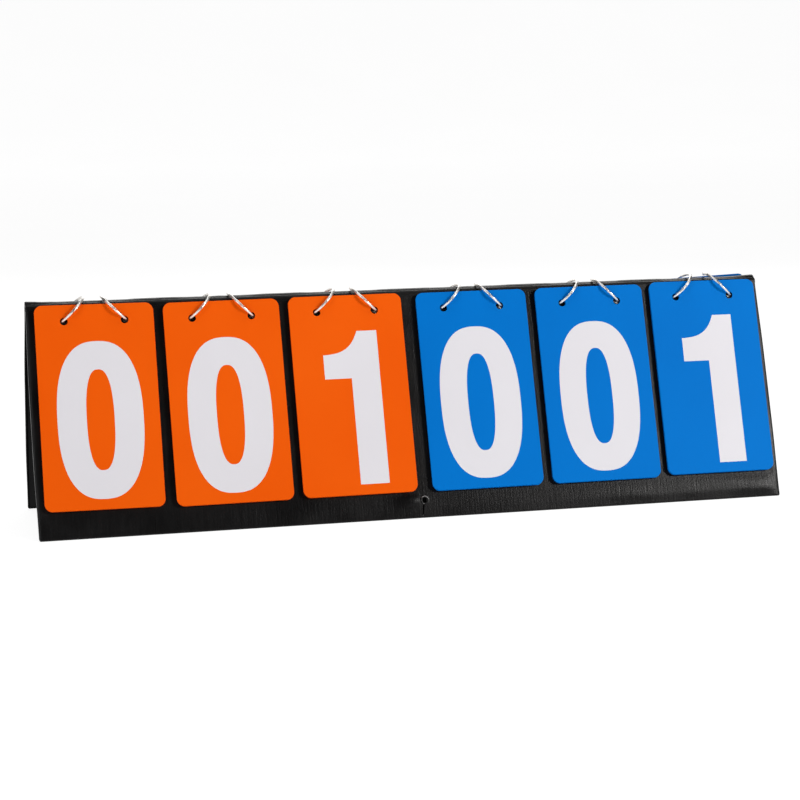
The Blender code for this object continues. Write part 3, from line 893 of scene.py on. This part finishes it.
numeral = {
    "lift": 0.00001,
    "thickness": 0.00003,
    "zeroMiddle": (0.0002, -0.0908),    # from the middle of the card's top edge
    "zeroOuter": (0.0330, 0.0615),
    "zeroInner": (0.01065, 0.0393),
    "zeroPower": 2.5,
    "zeroSegments": 120,
    "shiftOf": {1: 0.0002, 2: 0.0006, 3: 0.0002, 4: 0.0, 5: 0.0004, 6: -0.0006},
    "one": (    # outlines in millimetres, down from the card's top edge
        (23.2, 29.4), (23.2, 152.2), (0.1, 152.2), (0.1, 67.3), (-21.4, 67.3), (-21.4, 47.9), (-17.0, 47.7),
        (-12.8, 47.2), (-9.4, 46.5), (-6.2, 45.4), (-3.2, 43.8), (-0.8, 42.0), (1.2, 40.0), (3.0, 37.6),
        (4.6, 35.0), (5.9, 32.2), (7.0, 29.4),
    ),
    "two": (
        (-31, 152), (31, 152), (31, 131), (-3, 131), (6, 118), (20, 100), (28, 86), (31, 70), (31, 64),
        (29.2, 49.5), (25, 40), (18.5, 33.2), (10, 30), (0, 29), (-11, 30.2), (-20, 34), (-26.5, 40.5),
        (-30, 50), (-31, 62), (-31, 70), (-10, 70), (-10, 62), (-7.8, 53), (0, 49), (6.5, 51.3), (9.2, 58),
        (9.6, 66), (7.5, 78), (1, 90), (-9, 103), (-21, 119), (-28.5, 134), (-31, 144),
    ),
}


def squircle(mesh, halfWidth, halfHeight):
    segments = numeral["zeroSegments"]
    ring = bmesh.ops.create_circle(mesh, cap_ends=False, segments=segments, radius=1.0)["verts"]
    power = 2 / numeral["zeroPower"]
    for v in ring:
        x, y = v.co.x, v.co.y
        v.co.x = halfWidth * abs(x) ** power * (1 if x > 0 else -1)
        v.co.y = halfHeight * abs(y) ** power * (1 if y > 0 else -1)
    return ring


def makeNumeral(name, digit, deck, place, thickness):
    mesh = bmesh.new()
    if digit == "0":
        rings = [squircle(mesh, *numeral[k]) for k in ("zeroOuter", "zeroInner")]
        bmesh.ops.bridge_loops(mesh, edges=mesh.edges[:])
        x, y = numeral["zeroMiddle"]
        bmesh.ops.translate(mesh, vec=(x, y, 0), verts=[v for ring in rings for v in ring])
    else:
        outline = numeral["one" if digit == "1" else "two"]
        mesh.faces.new([mesh.verts.new((x / 1000, -y / 1000, 0)) for x, y in outline])
        bmesh.ops.triangulate(mesh, faces=mesh.faces[:])
    bmesh.ops.recalc_face_normals(mesh, faces=mesh.faces)
    if sum(f.normal.z for f in mesh.faces) < 0:
        bmesh.ops.reverse_faces(mesh, faces=mesh.faces)
    grown = bmesh.ops.extrude_face_region(mesh, geom=mesh.faces[:])["geom"]
    raised = [v for v in grown if isinstance(v, bmesh.types.BMVert)]
    bmesh.ops.translate(mesh, vec=(0, 0, numeral["thickness"]), verts=raised)
    bmesh.ops.recalc_face_normals(mesh, faces=mesh.faces)
    shift = (numeral["shiftOf"][deck], decks["holeDrop"], thickness / 2 + numeral["lift"])
    bmesh.ops.translate(mesh, vec=shift, verts=mesh.verts)
    return finishPiece(name, mesh, [numeralFinish], place=place)


for deck in range(1, 7):
    finish = orangeFinish if deck <= 3 else blueFinish
    thickness = decks["cardThickness"]
    pack = makeLeaves(deck, finish)
    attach(pack, "front_panel")
    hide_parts("card_%d_stack" % deck)
    layers = (
        ("next", decks["nextMiddle"], decks["nextNumeral"], "front_panel"),
        ("top", decks["topMiddle"], decks["topNumeral"], "top_card_%d" % deck),
    )
    for layer, depth, digits, body in layers:
        place = deckPlace(deck, depth)
        card = cardBlank("%sCard_%d" % (layer, deck), thickness, finish, **cardHoles[layer])
        card.data.transform(place)
        printed = makeNumeral("%sNumeral_%d" % (layer, deck), digits[deck - 1], deck, place, thickness)
        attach(card, body)
        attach(printed, body)
        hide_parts("card_%d_%s" % (deck, layer))

flipped = {  # the cards that hang behind show their plain backs
    "belowWire": {3: 0.0006, 6: -0.0003},
    "turnDegrees": {3: 0.0, 6: -1.4},
}
for deck in (3, 6):
    points = {side: rearPanel.inverted() @ rearCrossing(deck, side) for side in sides}
    across = points["left"] - points["right"]
    middle = (points["left"] + points["right"]) / 2 - Vector((0, flipped["belowWire"][deck], 0))
    turn = across.y / across.x + radians(flipped["turnDegrees"][deck])
    place = rearPanel @ Matrix.Translation(middle) @ Matrix.Rotation(turn, 4, "Z")
    finish = orangeFinish if deck <= 3 else blueFinish
    card = cardBlank("flippedCard_%d" % deck, decks["cardThickness"], finish, **cardHoles["flipped"])
    card.data.transform(place)
    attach(card, "rear_panel")
    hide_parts("card_%d_flipped" % deck)
print("cards made")


# Binder rings

def halfRing(mesh, chord, start):
    centre = Vector((0, chord / 2, sqrt(ringWire["ringRadius"] ** 2 - (chord / 2) ** 2)))
    slant = ringWire["jointLength"] / (2 * ringWire["wireRadius"] * ringWire["ringRadius"])
    cutLength = hypot(1.0, ringWire["jointLength"] / (2 * ringWire["wireRadius"]))
    endGap = ringWire["gap"] / ringWire["ringRadius"] * cutLength
    ring = bmesh.ops.create_circle(
        mesh, cap_ends=False, segments=ringWire["sides"], radius=ringWire["wireRadius"]
    )["verts"]
    begin = Matrix.Rotation(start + endGap / 2, 4, "X") @ Matrix.Translation((0, ringWire["ringRadius"], 0))
    bmesh.ops.transform(mesh, matrix=Matrix.Translation(centre) @ begin, verts=ring)
    edges = [e for e in mesh.edges if all(v in ring for v in e.verts)]
    bmesh.ops.spin(
        mesh, geom=ring + edges, cent=centre, axis=(1, 0, 0), angle=pi - endGap, steps=ringWire["steps"],
        use_merge=False,
    )
    for v in mesh.verts:  # the joint is cut on a slant
        v.co = centre + Matrix.Rotation(slant * v.co.x, 3, "X") @ (v.co - centre)
    rims = [e for e in mesh.edges if e.is_boundary]
    bmesh.ops.holes_fill(mesh, edges=rims, sides=0)
    bmesh.ops.recalc_face_normals(mesh, faces=mesh.faces)
    return centre


def makeRing(deck, side):
    front, rear = frontCrossing(deck, side), rearCrossing(deck, side)
    chord = rear - front
    tilt = Matrix.Rotation(chord.yz.angle_signed(Vector((1, 0))), 4, "X")
    ringLean = Matrix.Rotation(-sides[side] * radians(ringWire["leanDegrees"]), 4, "Y")
    place = Matrix.Translation(front) @ tilt @ ringLean
    joint = radians(ringWire["jointDegrees"])
    for part, start in (("Upper", joint - pi), ("Lower", joint)):
        mesh = bmesh.new()
        centre = halfRing(mesh, chord.length, start)
        if part == "Upper":  # the rivet of the hinge joint
            spot = centre + ringWire["ringRadius"] * Vector((0, cos(joint), sin(joint)))
            made = bmesh.ops.create_uvsphere(
                mesh, u_segments=14, v_segments=8, radius=ringWire["rivetRadius"]
            )["verts"]
            bmesh.ops.scale(mesh, vec=(ringWire["rivetStretch"], 1.0, 1.0), verts=made)
            bmesh.ops.translate(mesh, vec=spot, verts=made)
        name = "ring%s_%d_%s" % (part, deck, side)
        piece = finishPiece(name, mesh, [steelFinish], smooth=True, place=place, sharpDegrees=50)
        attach(piece, "ring_%d_%s" % (deck, side))
        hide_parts("ring_%d_%s_%s" % (deck, side, part.lower()))


for deck in range(1, 7):
    for side in sides:
        makeRing(deck, side)
print("rings made")


# Finishes of the CAD nodes that stay, and the floor

for name, node in cad.items():
    if name.endswith("_lining"):
        finish = liningFinish
    elif "_board_" in name:
        finish = boardShadeFinish
    else:
        continue
    node.data.materials.clear()
    node.data.materials.append(finish)

makeFloor()
